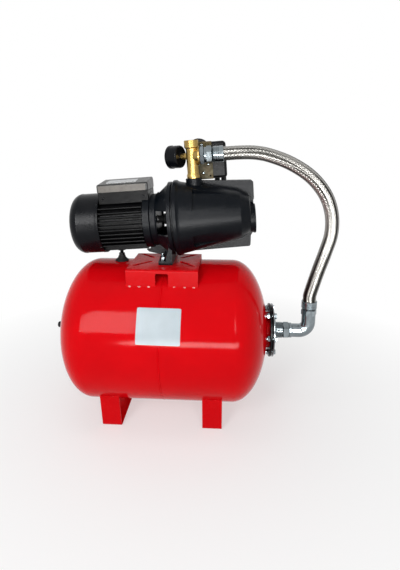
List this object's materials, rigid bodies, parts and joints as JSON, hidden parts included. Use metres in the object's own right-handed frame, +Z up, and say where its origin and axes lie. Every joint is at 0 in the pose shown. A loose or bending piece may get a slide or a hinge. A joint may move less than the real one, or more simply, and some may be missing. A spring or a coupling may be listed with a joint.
{
  "type": "booster pump set",
  "caption": "Self-priming electric pump on a horizontal red membrane tank, with five-way fitting, pressure gauge, pressure switch and a braided hose to the tank flange.",
  "frame": {"origin": "on the floor, under the middle of the set's own box without its hose", "axes": "+Z up, +X toward the suction port and the tank flange, -Y toward the side that the picture shows"},
  "size_m": [0.7371, 0.3716, 0.7301],
  "materials": {
    "red_enamel": "glossy red enamel",
    "black_cast": "satin black painted casting",
    "black_alloy": "satin black painted alloy",
    "black_sheet": "semi-gloss black paint",
    "black_plastic": "matte black plastic",
    "grey_lid": "satin grey plastic",
    "rubber": "matte black rubber",
    "zinc": "bright zinc plating",
    "yellow_zinc": "yellow passivated zinc",
    "brass": "cast and machined brass",
    "steel": "ground steel",
    "braid": "rubber hose in a bright steel braid",
    "white": "white plastic and enamel",
    "clear": "clear window",
    "iron": "laminated iron"
  },
  "bodies": {
    "set": {"air_valve_stem": "brass", "bearing_front": "steel", "bearing_rear": "steel", "bladder": "rubber", "cable_gland": "black_plastic", "capacitor": "white", "console": "red_enamel", "counter_flange": "zinc", "ejector": "black_plastic", "elbow": "zinc", "fan_cover": "black_sheet", "ferrule_bottom": "zinc", "ferrule_top": "zinc", "five_way_fitting": "brass", "flange_bolt_1": "zinc", "flange_bolt_2": "zinc", "flange_bolt_3": "zinc", "flange_bolt_4": "zinc", "flange_bolt_5": "zinc", "flange_bolt_6": "zinc", "foot_left": "red_enamel", "foot_right": "red_enamel", "gauge_case": "black_sheet", "gauge_dial": "white", "gauge_stem": "brass", "gauge_window": "clear", "hose": "braid", "hose_nipple": "zinc", "mechanical_seal": "rubber", "motor_bracket": "black_cast", "motor_housing": "black_alloy", "neck_flange": "black_sheet", "pump_casing": "black_cast", "pump_foot_bolt_front": "zinc", "pump_foot_bolt_rear": "zinc", "rear_shield": "black_alloy", "rubber_foot": "rubber", "seal_plate": "black_cast", "stator": "iron", "switch_base": "yellow_zinc", "switch_contacts": "white", "switch_cover": "black_plastic", "switch_nipple": "zinc", "tank_shell": "red_enamel", "terminal_block": "white", "terminal_box": "black_alloy", "terminal_lid": "grey_lid"},
    "rotor": {"shaft": "steel", "rotor_core": "iron", "impeller": "brass", "fan": "black_plastic"},
    "gauge_hand": {"gauge_pointer": "black_sheet"},
    "tank_union": {"elbow_nut": "zinc"},
    "hose_union": {"hose_nut": "zinc"},
    "valve_cap": {"air_valve_cap": "black_plastic"},
    "priming_screw": {"priming_plug": "brass"},
    "drain_screw": {"drain_plug": "brass"},
    "motor_foot": {"motor_foot_screw": "black_sheet"},
    "cut_out_nut": {"switch_spring_main": "steel"},
    "difference_nut": {"switch_spring_difference": "steel"}
  },
  "joints": [
    {"name": "rotor_spin", "type": "hinge", "parent": "set", "child": "rotor", "pos_m": [-0.0129, 0, 0.528], "axis": [0.9976, 0, 0.0698], "continuous": true},
    {"name": "gauge_hand_swing", "type": "hinge", "parent": "set", "child": "gauge_hand", "pos_m": [0.02338, 0, 0.68291], "axis": [-0.9041, 0.4226, -0.0632], "range_deg": [-270, 0], "stiffness_Nm_per_rad": 0.002},
    {"name": "tank_union_turn", "type": "hinge", "parent": "set", "child": "tank_union", "pos_m": [0.28, 0, 0.2284], "axis": [1, 0, 0], "continuous": true},
    {"name": "hose_union_turn", "type": "hinge", "parent": "set", "child": "hose_union", "pos_m": [0.06229, 0, 0.68563], "axis": [0.9976, 0, 0.0698], "continuous": true},
    {"name": "valve_cap_turn", "type": "hinge", "parent": "set", "child": "valve_cap", "pos_m": [-0.33, 0, 0.2284], "axis": [1, 0, 0], "continuous": true},
    {"name": "priming_plug_turn", "type": "hinge", "parent": "set", "child": "priming_screw", "pos_m": [0.13269, 0.042, 0.59632], "axis": [0, 1, 0], "continuous": true},
    {"name": "drain_plug_turn", "type": "hinge", "parent": "set", "child": "drain_screw", "pos_m": [0.14148, 0.042, 0.47063], "axis": [0, 1, 0], "continuous": true},
    {"name": "motor_foot_turn", "type": "hinge", "parent": "set", "child": "motor_foot", "pos_m": [-0.1625, 0, 0.44], "axis": [0, 0, 1], "continuous": true},
    {"name": "cut_out_nut_turn", "type": "hinge", "parent": "set", "child": "cut_out_nut", "pos_m": [0.04647, 0.052, 0.68252], "axis": [0, 1, 0], "continuous": true},
    {"name": "difference_nut_turn", "type": "hinge", "parent": "set", "child": "difference_nut", "pos_m": [0.04856, 0.052, 0.65259], "axis": [0, 1, 0], "continuous": true}
  ]
}
